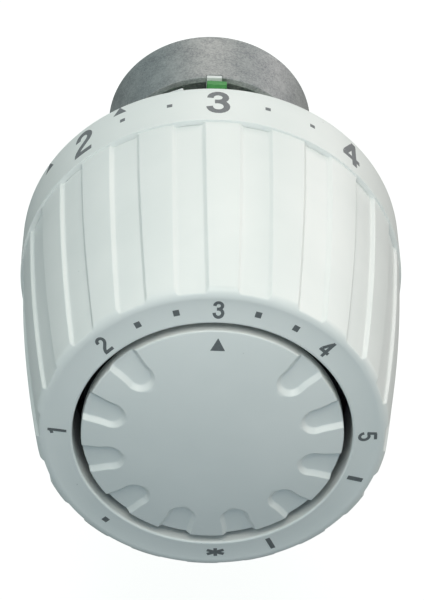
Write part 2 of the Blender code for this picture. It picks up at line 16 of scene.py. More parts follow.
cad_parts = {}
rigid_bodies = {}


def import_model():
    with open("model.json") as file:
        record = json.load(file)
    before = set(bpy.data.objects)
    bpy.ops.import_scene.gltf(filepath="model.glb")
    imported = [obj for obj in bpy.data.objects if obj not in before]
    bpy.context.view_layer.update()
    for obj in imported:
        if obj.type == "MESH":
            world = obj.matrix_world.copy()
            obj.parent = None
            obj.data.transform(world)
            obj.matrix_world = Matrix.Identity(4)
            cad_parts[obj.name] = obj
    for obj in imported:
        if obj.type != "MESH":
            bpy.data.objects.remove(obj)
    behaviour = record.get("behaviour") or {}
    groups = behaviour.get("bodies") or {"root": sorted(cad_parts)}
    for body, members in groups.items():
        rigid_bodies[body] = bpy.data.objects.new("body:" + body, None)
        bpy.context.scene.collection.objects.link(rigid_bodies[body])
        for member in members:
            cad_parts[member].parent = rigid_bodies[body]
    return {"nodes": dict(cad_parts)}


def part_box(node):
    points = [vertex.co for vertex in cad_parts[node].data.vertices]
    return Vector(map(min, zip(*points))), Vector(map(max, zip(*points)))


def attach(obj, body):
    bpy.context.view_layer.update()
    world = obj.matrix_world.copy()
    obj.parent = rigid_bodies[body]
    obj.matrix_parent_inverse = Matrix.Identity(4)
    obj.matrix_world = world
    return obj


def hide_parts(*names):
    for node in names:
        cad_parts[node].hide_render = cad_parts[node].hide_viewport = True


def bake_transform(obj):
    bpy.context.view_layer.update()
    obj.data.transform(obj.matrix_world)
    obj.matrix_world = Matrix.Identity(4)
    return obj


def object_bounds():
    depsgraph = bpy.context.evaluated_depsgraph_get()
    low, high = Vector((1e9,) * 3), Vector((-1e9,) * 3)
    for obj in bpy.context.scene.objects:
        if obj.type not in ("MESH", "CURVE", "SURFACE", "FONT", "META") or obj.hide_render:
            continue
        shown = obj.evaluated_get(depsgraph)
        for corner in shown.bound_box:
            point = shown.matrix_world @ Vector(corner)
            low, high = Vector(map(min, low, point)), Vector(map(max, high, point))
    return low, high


for leftover in list(bpy.data.objects):
    bpy.data.objects.remove(leftover, do_unlink=True)
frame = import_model()
CAD_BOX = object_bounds()

MM = 0.001
TO_FRAME = Matrix.Rotation(math.pi / 2, 4, "X")


def span(node):
    """(foot, top, radius) of a CAD node: its lowest and highest place along the axis and its half width."""
    low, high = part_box(node)
    return -high.y / MM, -low.y / MM, max(high.x, -low.x) / MM


# ---------------------------------------------------------------- mesh helpers


def smooth(share):
    """Eases from 0 to 1 without a kink at either end."""
    share = np.clip(share, 0.0, 1.0)
    return share * share * (3 - 2 * share)


def on_axis(x, y, height):
    """Frame positions in metres of points in the head's own axes."""
    return np.stack([x * MM, -height * MM, y * MM], axis=-1)


def clock(angle):
    """The turn about the head's axis that carries the top of the dial to this clock angle."""
    return Matrix.Rotation(-math.radians(angle), 4, "Z")


def move(x, y, z):
    return Matrix.Translation((x, y, z))


def finish_piece(obj, body, finish, node=None, sharp=40):
    """Shades a piece, gives it its finish and its body, and hides the CAD node that it stands for."""
    obj.data.materials.clear()
    obj.data.materials.append(finish)
    obj.data.shade_smooth()
    obj.data.set_sharp_from_angle(angle=math.radians(sharp))
    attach(obj, body)
    if node:
        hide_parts(node)
    return obj


def new_object(name, mesh):
    obj = bpy.data.objects.new(name, mesh)
    bpy.context.scene.collection.objects.link(obj)
    return obj


def grid_object(name, points, ring=True):
    """A closed body from rows of points round the axis; ring joins the last row to the first."""
    rows, columns = points.shape[:2]
    mesh = bpy.data.meshes.new(name)
    faces = []
    for row in range(rows if ring else rows - 1):
        below = (row + 1) % rows
        for column in range(columns):
            beside = (column + 1) % columns
            corners = (row, column), (below, column), (below, beside), (row, beside)
            faces.append([r * columns + c for r, c in corners])
    mesh.from_pydata(points.reshape(-1, 3).tolist(), [], faces)
    shape = bmesh.new()
    shape.from_mesh(mesh)
    bmesh.ops.remove_doubles(shape, verts=shape.verts, dist=0.002 * MM)
    bmesh.ops.recalc_face_normals(shape, faces=shape.faces)
    if shape.calc_volume(signed=True) < 0:
        bmesh.ops.reverse_faces(shape, faces=shape.faces)
    shape.to_mesh(mesh)
    shape.free()
    return new_object(name, mesh)


def rounded(corners, closed=True, arc_steps=4):
    """A profile through (radius, height, setback) corners, each rounded off from its setback."""
    points = []
    count = len(corners)
    for index, (radius, height, setback) in enumerate(corners):
        here = np.array([radius, height], float)
        if setback <= 0 or (not closed and index in (0, count - 1)):
            points.append(here)
            continue
        before = np.array(corners[index - 1][:2], float) - here
        after = np.array(corners[(index + 1) % count][:2], float) - here
        start = here + before / np.linalg.norm(before) * setback
        end = here + after / np.linalg.norm(after) * setback
        for step in range(arc_steps + 1):
            t = step / arc_steps
            points.append((1 - t) ** 2 * start + 2 * t * (1 - t) * here + t * t * end)
    return hold_edges(points, closed)


def hold_edges(points, closed, hold=0.06):
    """Adds a point near each end of every long stretch, so that flat stretches are shaded flat."""
    held = []
    count = len(points)
    for index, here in enumerate(points):
        held.append(here)
        if index == count - 1 and not closed:
            break
        there = points[(index + 1) % count]
        length = np.linalg.norm(there - here)
        if length > 5 * hold:
            held.append(here + (there - here) * hold / length)
            held.append(there - (there - here) * hold / length)
    return np.array(held)


def turn(profile, columns):
    """Rows of frame points that sweep a (radius, height) profile round the axis."""
    angles = np.linspace(0, 2 * math.pi, columns, endpoint=False)
    radius = profile[:, :1]
    height = np.repeat(profile[:, 1:], columns, axis=1)
    return on_axis(radius * np.sin(angles), radius * np.cos(angles), height)


def lathe(name, corners, columns, solid=False):
    """A turned body from (radius, height, setback) corners; a solid one starts and ends on the axis."""
    profile = rounded(corners, closed=not solid)
    return grid_object(name, turn(profile, columns), ring=not solid)


def block(name, size, matrix, bevel=0.0):
    """A box in the head's own axes, with rounded edges where a bevel is given."""
    shape = bmesh.new()
    bmesh.ops.create_cube(shape, size=1.0, matrix=Matrix.Diagonal((*size, 1.0)))
    if bevel:
        edges = [*shape.edges]
        bmesh.ops.bevel(shape, geom=edges, offset=bevel, segments=3, profile=0.6, affect="EDGES")
    return from_head_axes(name, shape, matrix)


def prism(name, outline, thickness, matrix):
    """A flat shape with this (x, y) outline, thickness deep along its own Z."""
    shape = bmesh.new()
    corners = [shape.verts.new((x, y, -thickness / 2)) for x, y in outline]
    face = shape.faces.new(corners)
    grown = bmesh.ops.extrude_face_region(shape, geom=[face])
    top = [part for part in grown["geom"] if isinstance(part, bmesh.types.BMVert)]
    bmesh.ops.translate(shape, vec=(0, 0, thickness), verts=top)
    bmesh.ops.recalc_face_normals(shape, faces=shape.faces)
    return from_head_axes(name, shape, matrix)


def from_head_axes(name, shape, matrix):
    """An object of the frame from a shape in millimetres, placed by this matrix in the head's axes."""
    bmesh.ops.transform(shape, matrix=TO_FRAME @ Matrix.Scale(MM, 4) @ matrix, verts=shape.verts)
    mesh = bpy.data.meshes.new(name)
    shape.to_mesh(mesh)
    shape.free()
    return new_object(name, mesh)


def circle(radius, sides):
    """Outline of a circle or a regular polygon, with a corner on its +X axis."""
    angles = np.linspace(0, 2 * math.pi, sides, endpoint=False)
    return [(radius * math.cos(a), radius * math.sin(a)) for a in angles]


def stadium(width, length, steps=8):
    """Outline of a slot with round ends, centred, long along Y."""
    half = width / 2
    straight = length / 2 - half
    outline = []
    for end in (0, 1):
        for step in range(steps + 1):
            angle = math.pi * (end + step / steps)
            y = straight if end == 0 else -straight
            outline.append((half * math.cos(angle), y + half * math.sin(angle)))
    return outline


def combine(obj, others, operation):
    """Joins or cuts the other objects into this one, and removes them."""
    for other in others:
        modifier = obj.modifiers.new("combine", "BOOLEAN")
        modifier.operation = operation
        modifier.object = other
        modifier.solver = "EXACT"
        bpy.context.view_layer.update()
        made = bpy.data.meshes.new_from_object(obj.evaluated_get(bpy.context.evaluated_depsgraph_get()))
        obj.modifiers.clear()
        obj.data = made
        bpy.data.objects.remove(other, do_unlink=True)
    return obj


def merged(name, objects):
    """One cutter from several objects that don't touch."""
    shape = bmesh.new()
    for obj in objects:
        shape.from_mesh(obj.data)
        bpy.data.objects.remove(obj, do_unlink=True)
    mesh = bpy.data.meshes.new(name)
    shape.to_mesh(mesh)
    shape.free()
    return new_object(name, mesh)


# ---------------------------------------------------------------- materials


def blend_colours(tree, factor, low, high):
    """A colour between low and high in a node tree; each is a colour or another node's output."""
    node = tree.nodes.new("ShaderNodeMix")
    node.data_type = "RGBA"
    tree.links.new(factor, node.inputs["Factor"])
    for socket, value in (("A", low), ("B", high)):
        target = [i for i in node.inputs if i.name == socket and i.type == "RGBA"][0]
        if isinstance(value, tuple):
            target.default_value = (*value, 1.0)
        else:
            tree.links.new(value, target)
    return [o for o in node.outputs if o.type == "RGBA"][0]


class Nodes:
    """A short way to write a node material."""

    def __init__(self, name):
        self.material = bpy.data.materials.new(name)
        self.material.use_nodes = True
        self.tree = self.material.node_tree
        self.shader = self.tree.nodes["Principled BSDF"]
        self.place = self.add("ShaderNodeTexCoord").outputs["Object"]

    def add(self, kind, **settings):
        node = self.tree.nodes.new(kind)
        for key, value in settings.items():
            setattr(node, key, value)
        return node

    def link(self, source, target):
        self.tree.links.new(source, target)

    def noise(self, size_mm, detail=3.0, roughness=0.5):
        node = self.add("ShaderNodeTexNoise")
        node.inputs["Scale"].default_value = 1 / (size_mm * MM)
        node.inputs["Detail"].default_value = detail
        node.inputs["Roughness"].default_value = roughness
        self.link(self.place, node.inputs["Vector"])
        return node.outputs["Fac"]

    def spots(self, size_mm, low, high):
        """Near 1 in the middle of scattered cells, 0 elsewhere."""
        node = self.add("ShaderNodeTexVoronoi")
        node.inputs["Scale"].default_value = 1 / (size_mm * MM)
        self.link(self.place, node.inputs["Vector"])
        return self.ramp(node.outputs["Distance"], (low, 1.0), (high, 0.0))

    def ramp(self, source, first, last):
        node = self.add("ShaderNodeMapRange")
        node.inputs["From Min"].default_value = first[0]
        node.inputs["From Max"].default_value = last[0]
        node.inputs["To Min"].default_value = first[1]
        node.inputs["To Max"].default_value = last[1]
        self.link(source, node.inputs["Value"])
        return node.outputs["Result"]

    def mix(self, factor, low, high):
        return blend_colours(self.tree, factor, low, high)

    def multiply(self, first, second):
        node = self.add("ShaderNodeMath", operation="MULTIPLY")
        self.link(first, node.inputs[0])
        if isinstance(second, (int, float)):
            node.inputs[1].default_value = second
        else:
            self.link(second, node.inputs[1])
        return node.outputs[0]

    def bump(self, height, strength, depth_mm, under=None):
        node = self.add("ShaderNodeBump")
        node.inputs["Strength"].default_value = strength
        node.inputs["Distance"].default_value = depth_mm * MM
        self.link(height, node.inputs["Height"])
        if under is not None:
            self.link(under, node.inputs["Normal"])
        return node.outputs["Normal"]

    def set(self, **values):
        names = {
            "colour": "Base Color",
            "rough": "Roughness",
            "metal": "Metallic",
            "normal": "Normal",
            "specular": "Specular IOR Level",
        }
        for key, value in values.items():
            target = self.shader.inputs[names[key]]
            if isinstance(value, (int, float)):
                target.default_value = value
            elif isinstance(value, tuple):
                target.default_value = (*value, 1.0)
            else:
                self.link(value, target)
        return self.material


def moulded_plastic(name, light, dark, rough, grain=0.10):
    """Satin moulded plastic: a spark-eroded grain, slow tone changes, and the odd speck of dust."""
    nodes = Nodes(name)
    tone = nodes.ramp(nodes.noise(9.0, 2.0), (0.35, 0.0), (0.65, 1.0))
    colour = nodes.mix(tone, dark, light)
    specks = nodes.multiply(nodes.spots(4.2, 0.012, 0.03), 0.45)
    colour = nodes.mix(specks, colour, tuple(0.45 * c for c in dark))
    fine = nodes.noise(grain, 2.0, 0.6)
    flow = nodes.noise(2.4, 2.0)
    normal = nodes.bump(flow, 0.12, 0.02)
    normal = nodes.bump(fine, 0.25, 0.006, under=normal)
    roughness = nodes.ramp(nodes.noise(1.6, 3.0), (0.3, rough - 0.04), (0.7, rough + 0.05))
    return nodes.set(colour=colour, rough=roughness, normal=normal, specular=0.45)


def cast_metal(name):
    """Tumbled die casting: mottled greys at several sizes, small pits and a rough skin."""
    nodes = Nodes(name)
    clouds = nodes.ramp(nodes.noise(3.6, 5.0, 0.75), (0.38, 0.0), (0.64, 1.0))
    grain = nodes.ramp(nodes.noise(0.3, 4.0, 0.75), (0.38, 0.0), (0.62, 1.0))
    colour = nodes.mix(clouds, (0.27, 0.28, 0.29), (0.44, 0.45, 0.45))
    colour = nodes.mix(nodes.multiply(grain, 0.5), colour, (0.62, 0.63, 0.62))
    pits = nodes.spots(1.3, 0.03, 0.09)
    colour = nodes.mix(nodes.multiply(pits, 0.55), colour, (0.13, 0.14, 0.15))
    skin = nodes.noise(0.28, 4.0, 0.7)
    normal = nodes.bump(nodes.noise(1.4, 3.0), 0.35, 0.05)
    normal = nodes.bump(skin, 0.55, 0.03, under=normal)
    normal = nodes.bump(pits, 0.4, -0.05, under=normal)
    roughness = nodes.ramp(grain, (0.0, 0.62), (1.0, 0.48))
    return nodes.set(colour=colour, rough=roughness, metal=0.85, normal=normal)


def drawn_metal(name, light, dark, rough):
    """Turned or drawn metal with fine rings round the axis."""
    nodes = Nodes(name)
    stretch = nodes.add("ShaderNodeMapping")
    stretch.inputs["Scale"].default_value = (0.04, 1.0, 0.04)
    nodes.link(nodes.place, stretch.inputs["Vector"])
    rings = nodes.add("ShaderNodeTexNoise")
    rings.inputs["Scale"].default_value = 1 / (0.12 * MM)
    rings.inputs["Detail"].default_value = 3.0
    nodes.link(stretch.outputs["Vector"], rings.inputs["Vector"])
    streak = rings.outputs["Fac"]
    colour = nodes.mix(nodes.ramp(streak, (0.3, 0.0), (0.7, 1.0)), dark, light)
    normal = nodes.bump(streak, 0.25, 0.008)
    roughness = nodes.ramp(nodes.noise(0.8), (0.3, rough - 0.05), (0.7, rough + 0.08))
    return nodes.set(colour=colour, rough=roughness, metal=1.0, normal=normal)


def pad_ink(name, colour):
    """Printed ink: flat grey with a slightly open, uneven film."""
    nodes = Nodes(name)
    film = nodes.ramp(nodes.noise(0.35, 4.0, 0.7), (0.35, 0.0), (0.7, 1.0))
    light = tuple(1.22 * c for c in colour)
    normal = nodes.bump(nodes.noise(0.12), 0.2, 0.004)
    return nodes.set(colour=nodes.mix(film, colour, light), rough=0.5, normal=normal)


WHITE_PLASTIC = moulded_plastic("white_plastic", (0.875, 0.885, 0.875), (0.845, 0.86, 0.85), 0.36)
GREY_PLASTIC = moulded_plastic("grey_plastic", (0.50, 0.51, 0.51), (0.44, 0.45, 0.45), 0.5)
# Painted shade: a near-black plastic for the inner cage, standing in for the shadow deep in the gap round
# the front disc.
PAINTED_SHADE_PLASTIC = moulded_plastic("painted_shade_plastic", (0.05, 0.05, 0.053), (0.035, 0.035, 0.038), 0.5)
GREEN_PLASTIC = moulded_plastic("green_plastic", (0.085, 0.36, 0.095), (0.06, 0.29, 0.07), 0.4)
CAST_METAL = cast_metal("cast_metal")
BRIGHT_METAL = drawn_metal("bright_metal", (0.74, 0.74, 0.72), (0.6, 0.6, 0.59), 0.3)
SPRING_STEEL = drawn_metal("spring_steel", (0.52, 0.53, 0.55), (0.38, 0.39, 0.41), 0.34)
COPPER_ALLOY = drawn_metal("copper_alloy", (0.78, 0.5, 0.28), (0.62, 0.36, 0.18), 0.34)
BAND_INK = pad_ink("band_ink", (0.175, 0.18, 0.19))
FACE_INK = pad_ink("face_ink", (0.135, 0.145, 0.15))


# ---------------------------------------------------------------- setting knob

KNOB_FOOT, KNOB_TOP, BAND_RADIUS = span("setting_knob")
DISC_FOOT, DISC_TOP, DISC_RADIUS = span("front_disc")
KNOB_WALL = 1.8

OPENING_RADIUS = DISC_RADIUS + 1.07
OPENING_EDGE = 0.25
TUBE_DEPTH = 9.0
TUBE_WALL = 1.2

FACE_OUTER = 20.2
FACE_EDGE = KNOB_TOP - 0.08
FACE_RISE = 0.48

FRONT_RADIUS = 21.4
FRONT_DROP = 1.0
BULGE = 0.5
BAND_STEP = 0.28
BAND_TOP = KNOB_FOOT + 7.7
BAND_EDGE = 0.35

FLUTES = 18
PITCH = 360 / FLUTES
FLUTE_TURN = 1.3
FLUTE_HALF_WIDTH = 1.51
FLUTE_CORNER = 0.35
FLUTE_DEPTH = 0.42
FLUTE_SLOPE = 1.05
FLUTE_FOOT = 0.3
FLUTE_FRONT_RADIUS = 21.02
GROOVE_WIDTH = 0.12
GROOVE_DEPTH = 0.3

# Rows of the mesh: how far below the face's edge they lie where the front edge rounds over,
# and how far above the band where the flutes end in round corners.
FRONT_ROWS = (0.0, 0.002, 0.006, 0.013, 0.024, 0.045, 0.08, 0.12, 0.18, 0.26)
FRONT_ROWS += (0.36, 0.48, 0.62, 0.78, 0.95, 1.1, 1.3, 1.6, 2.3)
REAR_ROWS = (1.2, 0.7, 0.5, 0.4, 0.31, 0.23, 0.19, 0.16)


def rearward(height):
    """0 at the knob's front and 1 where the scale band starts."""
    return np.clip((KNOB_TOP - height) / (KNOB_TOP - BAND_TOP), 0.0, 1.0)


def barrel_radius(height):
    """Radius of the slightly barrelled cone that the gripping surface follows."""
    share = rearward(height)
    straight = FRONT_RADIUS + (BAND_RADIUS - BAND_STEP - FRONT_RADIUS) * share
    return straight + 4 * BULGE * share * (1 - share)


def land_radius(height):
    """Radius of the lands, which round over to the ring face."""
    radius = barrel_radius(height)
    rise = np.clip((height - (FACE_EDGE - FRONT_DROP)) / FRONT_DROP, 0.0, 1.0)
    return FACE_OUTER + (radius - FACE_OUTER) * np.sqrt(1 - rise**2)


def floor_radius(height):
    """Radius of the flutes' floors, which run straight out to the rounded front edge."""
    shallow = FRONT_RADIUS - FLUTE_FRONT_RADIUS
    depth = shallow + (FLUTE_DEPTH - shallow) * smooth(rearward(height) * 3)
    return barrel_radius(height) - depth


def eased_climb(past, foot):
    """Distance climbed past the foot of a wall, where the foot is rounded over this length."""
    return np.where(past < foot, np.maximum(past, 0) ** 2 / (2 * foot), past - foot / 2)


def knob_columns():
    """Angles in degrees round the knob, close together where a flute's walls are."""
    fine = [2.6, 2.95, 3.2, 3.4, 3.6, 3.8, 4.0, 4.2, 4.4, 4.6, 4.8, 5.0, 5.2, 5.4, 5.65, 6.0]
    side = [1.0, 1.9] + fine + [7.2, 8.6]
    one = [-a for a in reversed(side)] + [0.0] + side + [PITCH / 2]
    middles = [PITCH * (i + 0.5) + FLUTE_TURN for i in range(FLUTES)]
    return np.array([middle + a for middle in middles for a in one])


def fluted_radius(angle, height):
    """Radius of the gripping surface: lands with flat flutes between sloped walls."""
    offset = ((angle - FLUTE_TURN) % PITCH) - PITCH / 2
    floor = floor_radius(height)
    into = np.clip((height - BAND_TOP) / FLUTE_CORNER, 0.0, 1.0)
    half_width = FLUTE_HALF_WIDTH - FLUTE_CORNER * (1 - np.sqrt(1 - (1 - into) ** 2))
    past = np.abs(np.radians(offset) * floor) - half_width
    return np.minimum(land_radius(height), floor + FLUTE_SLOPE * eased_climb(past, FLUTE_FOOT))


def quarter_turn(steps=6):
    """Points of a rounded edge of radius 1, as distances in from the two faces that it joins."""
    for step in range(steps + 1):
        angle = math.pi / 2 * step / steps
        yield 1 - math.cos(angle), 1 - math.sin(angle)


def knob_shell():
    """The knob, as rows round the axis: up the opening, over the face, down outside and up inside."""
    angles = knob_columns()
    rows = []

    def plain(radius, height):
        rows.append((np.full(angles.shape, radius), np.full(angles.shape, height)))

    def fluted(height, sunk=0.0):
        radius = fluted_radius(angles, height)
        groove = sunk * (land_radius(height) - radius) / FLUTE_DEPTH
        rows.append((radius - groove, np.full(angles.shape, height)))

    # the opening and its rounded edge, then the ring face
    tube_foot = KNOB_TOP - TUBE_DEPTH
    brim = ring_face(OPENING_RADIUS + OPENING_EDGE)
    plain(OPENING_RADIUS, tube_foot)
    plain(OPENING_RADIUS, brim - OPENING_EDGE - 0.1)
    for run, rise in quarter_turn():
        plain(OPENING_RADIUS + OPENING_EDGE * run, brim - OPENING_EDGE * rise)
    for radius in np.linspace(OPENING_RADIUS + OPENING_EDGE + 0.08, FACE_OUTER - 0.1, 14):
        plain(radius, ring_face(radius))

    # the gripping surface, down to the groove at the flutes' ends
    for below in FRONT_ROWS:
        fluted(FACE_EDGE - below)
    for height in np.linspace(KNOB_TOP - 3.5, BAND_TOP + 2.0, 16):
        fluted(height)
    for above in REAR_ROWS:
        fluted(BAND_TOP + above)
    fluted(BAND_TOP + GROOVE_WIDTH, GROOVE_DEPTH)
    fluted(BAND_TOP, GROOVE_DEPTH)

    # the scale band between its two rounded edges
    plain(BAND_RADIUS - 0.07, BAND_TOP)
    plain(BAND_RADIUS - 0.02, BAND_TOP - 0.02)
    plain(BAND_RADIUS, BAND_TOP - 0.07)
    for height in (BAND_TOP - 0.2, BAND_TOP - 2.5, KNOB_FOOT + 2.5, KNOB_FOOT + 0.45):
        plain(BAND_RADIUS, height)
    for run, rise in list(quarter_turn())[1:]:
        plain(BAND_RADIUS - BAND_EDGE * run, KNOB_FOOT + BAND_EDGE * rise)

    # the inside, up to the back of the ring face and down the outside of the opening's tube
    bore = BAND_RADIUS - KNOB_WALL
    plain(bore + 0.2, KNOB_FOOT)
    plain(bore, KNOB_FOOT + 0.2)
    plain(bore, BAND_TOP)
    for height in (45.0, 55.0, KNOB_TOP - 3.0):
        plain(float(land_radius(height)) - KNOB_WALL, height)
    plain(FRONT_RADIUS - KNOB_WALL - 0.4, KNOB_TOP - KNOB_WALL)
    plain(OPENING_RADIUS + TUBE_WALL + 0.1, KNOB_TOP - KNOB_WALL)
    plain(OPENING_RADIUS + TUBE_WALL, tube_foot)

    radius = np.array([row[0] for row in rows])
    height = np.array([row[1] for row in rows])
    turned = np.radians(angles)
    points = on_axis(radius * np.sin(turned), radius * np.cos(turned), height)
    shell = grid_object("knob_shell", points)
    return finish_piece(shell, "knob", WHITE_PLASTIC, "setting_knob", sharp=50)


# ---------------------------------------------------------------- dial marks


def arc(centre, radii, start, end, steps=14):
    """Points on an ellipse from start to end degrees, anticlockwise from its right."""
    angles = np.radians(np.linspace(start, end, steps))
    return [(centre[0] + radii[0] * math.cos(a), centre[1] + radii[1] * math.sin(a)) for a in angles]


# Centrelines of the numerals, drawn for a cell one unit high with strokes DRAWN_STROKE wide.
DRAWN_WIDTH = 0.64
DRAWN_STROKE = 0.17
DIGITS = {
    "1": [[(0.07, -0.5), (0.07, 0.5)], [(0.10, 0.40), (0.02, 0.34), (-0.06, 0.295), (-0.18, 0.27)]],
    "2": [
        arc((0.0, 0.215), (0.205, 0.205), 188, -20)
        + [(0.15, 0.06), (0.03, -0.06), (-0.10, -0.18), (-0.185, -0.30), (-0.215, -0.42)],
        [(-0.30, -0.425), (0.29, -0.425)],
    ],
    "3": [
        arc((0.0, 0.225), (0.205, 0.19), 183, -85),
        arc((0.0, -0.195), (0.23, 0.23), 85, -183),
        [(-0.09, 0.035), (0.03, 0.035)],
    ],
    "4": [
        [(0.10, -0.5), (0.10, 0.5)],
        [(0.14, 0.44), (0.03, 0.33), (-0.235, -0.12)],
        [(-0.33, -0.205), (0.31, -0.205)],
    ],
    "5": [
        [(-0.165, 0.43), (0.25, 0.43)],
        [(-0.15, 0.48), (-0.175, 0.22), (-0.215, -0.02)],
        [(-0.2, 0.03), (-0.12, 0.115)] + arc((0.0, -0.17), (0.235, 0.255), 112, -176),
    ],
}


def stroke_outline(line, width):
    """Outline of a stroke with square ends along a centreline."""
    points = np.array(line, float)
    along = np.gradient(points, axis=0)
    along /= np.linalg.norm(along, axis=1)[:, None]
    side = np.stack([-along[:, 1], along[:, 0]], axis=1) * width / 2
    return [tuple(p) for p in points + side] + [tuple(p) for p in (points - side)[::-1]]


def digit_strokes(digit, width, height, stroke):
    """Stroke outlines of a numeral of this size."""
    stretch = (width - stroke) / (DRAWN_WIDTH - DRAWN_STROKE)
    outlines = []
    for line in DIGITS[digit]:
        scaled = [(x * stretch, y * height) for x, y in line]
        outlines.append(stroke_outline(scaled, stroke))
    return outlines


def rectangle(width, height):
    x = width / 2
    y = height / 2
    return [(-x, -y), (x, -y), (x, y), (-x, y)]


def asterisk(reach, upright, bar):
    """A frost mark: a short upright bar crossed by two long ones."""
    bars = []
    for turned, half in ((90, upright), (20, reach), (160, reach)):
        across = math.cos(math.radians(turned))
        up = math.sin(math.radians(turned))
        corners = rectangle(2 * half, bar)
        bars.append([(x * across - y * up, x * up + y * across) for x, y in corners])
    return bars


def mark(name, outlines, place, body, ink, depth=0.09, lift=0.02):
    """A printed mark: its flat outlines are joined, cut into narrow strips and laid on a surface.
    place(x, y, up) gives the frame position of a point of the mark."""
    parts = []
    for index, outline in enumerate(outlines):
        # a hair of extra depth on each stroke keeps the faces that a join meets apart
        flat = prism(f"{name}_{index}", outline, 1.0 + 0.02 * index, Matrix.Identity(4))
        parts.append(flat)
    joined = parts[0]
    joined.name = name
    combine(joined, parts[1:], "UNION")
    shape = bmesh.new()
    shape.from_mesh(joined.data)
    bmesh.ops.transform(shape, matrix=(TO_FRAME @ Matrix.Scale(MM, 4)).inverted(), verts=shape.verts)
    widest = max(abs(v.co.x) for v in shape.verts)
    strip = 0.3
    clear = 0.011  # keeps the cuts off the outlines' own upright edges
    for index in range(-int(widest / strip), int(widest / strip) + 1):
        everything = [*shape.verts, *shape.edges, *shape.faces]
        cut_at = (index * strip + clear, 0, 0)
        bmesh.ops.bisect_plane(shape, geom=everything, plane_co=cut_at, plane_no=(1, 0, 0))
    bmesh.ops.triangulate(shape, faces=[f for f in shape.faces if len(f.verts) > 4])
    for vert in shape.verts:
        up = lift if vert.co.z > 0 else -depth
        vert.co = Vector(place(vert.co.x, vert.co.y, up))
    bmesh.ops.recalc_face_normals(shape, faces=shape.faces)
    if shape.calc_volume(signed=True) < 0:
        bmesh.ops.reverse_faces(shape, faces=shape.faces)
    shape.to_mesh(joined.data)
    shape.free()
    return finish_piece(joined, body, ink, sharp=30)


def on_band(angle, height):
    """Places a mark on the scale band, its top towards the valve."""

    def place(x, y, up):
        turned = math.radians(angle) + x / BAND_RADIUS
        radius = BAND_RADIUS + up
        return on_axis(radius * math.sin(turned), radius * math.cos(turned), height - y)

    return place


def on_face(angle, radius, level):
    """Places a mark on a face square to the axis, its top outwards. level(radius) is the face's height."""

    def place(x, y, up):
        a = math.radians(angle)
        px = x * math.cos(a) + (radius + y) * math.sin(a)
        py = -x * math.sin(a) + (radius + y) * math.cos(a)
        return on_axis(px, py, level(math.hypot(px, py)) + up)

    return place


# Clock angles of the marks.
FACE_NUMERALS = {"1": -90, "2": -45.3, "3": 0, "4": 44, "5": 88.7}
BAND_NUMERALS = {"1": -88, "2": -43, "3": 0, "4": 44.3, "5": 88.7}
FACE_DOTS = (-137.5, -30, -15.2, 14.5, 29.4)
BAND_DOTS = (-137.5, -29, -14.3, 14.8, 29.2)
TICKS = (109.5, 155.2)
FROST = 176.7
BAND_POINTERS = (-59.2, -30)
FACE_MARK_RADIUS = OPENING_RADIUS + 1.83
BAND_MARK_HEIGHT = KNOB_FOOT + 3.55
BAND_POINTER_HEIGHT = KNOB_FOOT + 0.95


def ring_face(radius):
    """Height of the ring face: a flat cone that rises a little towards the opening."""
    share = np.clip((FACE_OUTER - radius) / (FACE_OUTER - OPENING_RADIUS), 0.0, 1.0)
    return FACE_EDGE + FACE_RISE * share**1.5


def face_marks():
    def add(name, outlines, angle):
        mark(name, outlines, on_face(angle, FACE_MARK_RADIUS, ring_face), "knob", FACE_INK)

    for digit, angle in FACE_NUMERALS.items():
        add(f"face_{digit}", digit_strokes(digit, 1.42, 2.3, 0.39), angle)
    for index, angle in enumerate(FACE_DOTS):
        add(f"face_dot_{index}", [rectangle(0.76, 0.76)], angle)
    for index, angle in enumerate(TICKS):
        add(f"face_tick_{index}", [rectangle(0.6, 2.0)], angle)
    add("face_frost", asterisk(1.12, 0.72, 0.46), FROST)


def band_marks():
    def add(name, outlines, angle, height=BAND_MARK_HEIGHT):
        mark(name, outlines, on_band(angle, height), "knob", BAND_INK)

    for digit, angle in BAND_NUMERALS.items():
        add(f"band_{digit}", digit_strokes(digit, 3.1, 5.05, 0.84), angle)
    for index, angle in enumerate(BAND_DOTS):
        add(f"band_dot_{index}", [rectangle(0.7, 0.66)], angle)
    for index, angle in enumerate(TICKS):
        add(f"band_tick_{index}", [rectangle(0.75, 3.0)], angle)
    add("band_frost", asterisk(1.9, 1.5, 0.75), FROST)
    pointer = [(-0.95, -0.75), (0.95, -0.75), (0.0, 0.72)]
    for index, angle in enumerate(BAND_POINTERS):
        add(f"band_pointer_{index}", [pointer], angle, BAND_POINTER_HEIGHT)


# ---------------------------------------------------------------- front disc

DISC_TURN = 0.4
DISC_ROLL = 0.16
DISC_DOME = 2.0
DISC_WALL = 1.4
DISC_HUB_RADIUS = 12.0
DISC_HUB_WALL = 1.2

NOTCH_ANGLES = range(45, 316, 30)
NOTCH_DEPTH = 0.62
NOTCH_SLOPE = 1.15
NOTCH_FOOT = 0.16
NOTCH_INNER_RADIUS = 11.65
NOTCH_HALF_WIDTH = 1.2
NOTCH_FLARE = 0.32
NOTCH_FLARE_START = 13.2


def rolled(radius):
    """How far the disc's face falls where its rim is rounded."""
    past = np.clip((radius - (DISC_RADIUS - DISC_ROLL)) / DISC_ROLL, 0.0, 1.0)
    return DISC_ROLL * (1 - np.sqrt(1 - past**2 * 0.999))


def disc_level(radius):
    """Height of the disc's gently domed face, rounded over at its rim."""
    r = np.asarray(radius, float)
    return DISC_TOP - DISC_DOME * (r / DISC_RADIUS) ** 2 - rolled(r)


